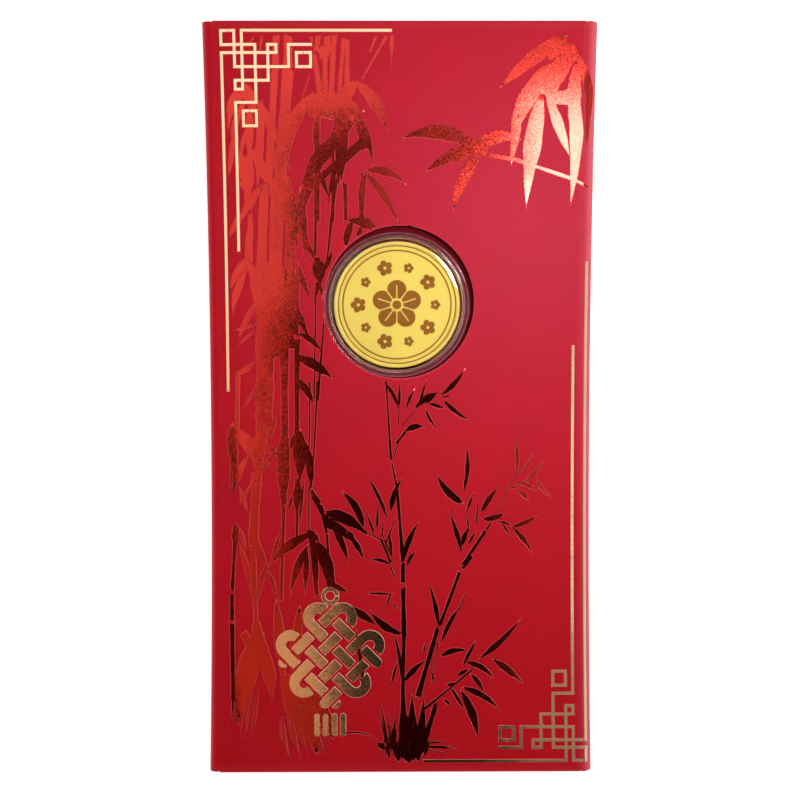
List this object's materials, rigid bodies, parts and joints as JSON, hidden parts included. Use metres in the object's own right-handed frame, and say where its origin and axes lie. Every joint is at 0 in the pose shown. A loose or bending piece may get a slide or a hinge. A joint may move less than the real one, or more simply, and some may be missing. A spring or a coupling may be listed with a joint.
{
  "type": "red envelope",
  "caption": "Folded red card envelope for banknotes, with a gilt coin in a clear capsule set in a round window and foil-stamped bamboo and fretwork on its front.",
  "frame": {"origin": "middle of the envelope at its underside: it lies on its back, on the outer faces of its folded flaps", "axes": "+X across the front to the right, +Y along the envelope towards the top crease, +Z out of the front"},
  "size_m": [0.088, 0.17, 0.0073],
  "materials": {
    "red_card": "matte dyed card",
    "carrier_card": "matte dyed card",
    "dried_glue": "dried glue line",
    "foam_tape": "white foam tape",
    "adhesive_pad": "double-sided pad",
    "clear_capsule": "clear moulded polystyrene",
    "gilt_coin": "satin gilt",
    "gold_foil": "hot-stamped gold foil",
    "red_foil": "hot-stamped red foil"
  },
  "bodies": {
    "sleeve": {"front_panel": "red_card", "right_fold": "red_card", "left_fold": "red_card", "back_panel": "red_card", "side_glue_tab": "red_card", "side_glue_line": "dried_glue", "bottom_spine": "red_card", "bottom_flap": "red_card", "bottom_glue_line": "dried_glue", "coin_carrier": "carrier_card", "foam_tape_left": "foam_tape", "foam_tape_right": "foam_tape", "adhesive_disc": "adhesive_pad", "capsule_base": "clear_capsule", "gold_fret_top_left": "gold_foil", "gold_fret_bottom_right": "gold_foil", "gold_knot": "gold_foil", "bamboo_grove": "red_foil", "bamboo_spray": "red_foil", "bamboo_shoots": "red_foil", "bamboo_growth": "red_foil"},
    "flap_spine": {"top_spine": "red_card"},
    "flap": {"top_flap": "red_card"},
    "lid": {"capsule_lid": "clear_capsule"},
    "coin": {"coin": "gilt_coin"}
  },
  "joints": [
    {"name": "top_spine_fold", "type": "hinge", "parent": "sleeve", "child": "flap_spine", "pos_m": [0, 0.085, 0.0052], "axis": [1, 0, 0], "range_deg": [0, 90]},
    {"name": "top_flap_fold", "type": "hinge", "parent": "flap_spine", "child": "flap", "pos_m": [0, 0.085, 0], "axis": [1, 0, 0], "range_deg": [0, 90]},
    {"name": "lid_lift", "type": "slide", "parent": "sleeve", "child": "lid", "axis": [0, 0, 1], "range_m": [0, 0.024]},
    {"name": "coin_lift", "type": "slide", "parent": "sleeve", "child": "coin", "axis": [0, 0, 1], "range_m": [0, 0.012]}
  ],
  "couplings": [
    {"joint": "coin_lift", "follows": "lid_lift", "ratio": 0.5}
  ]
}
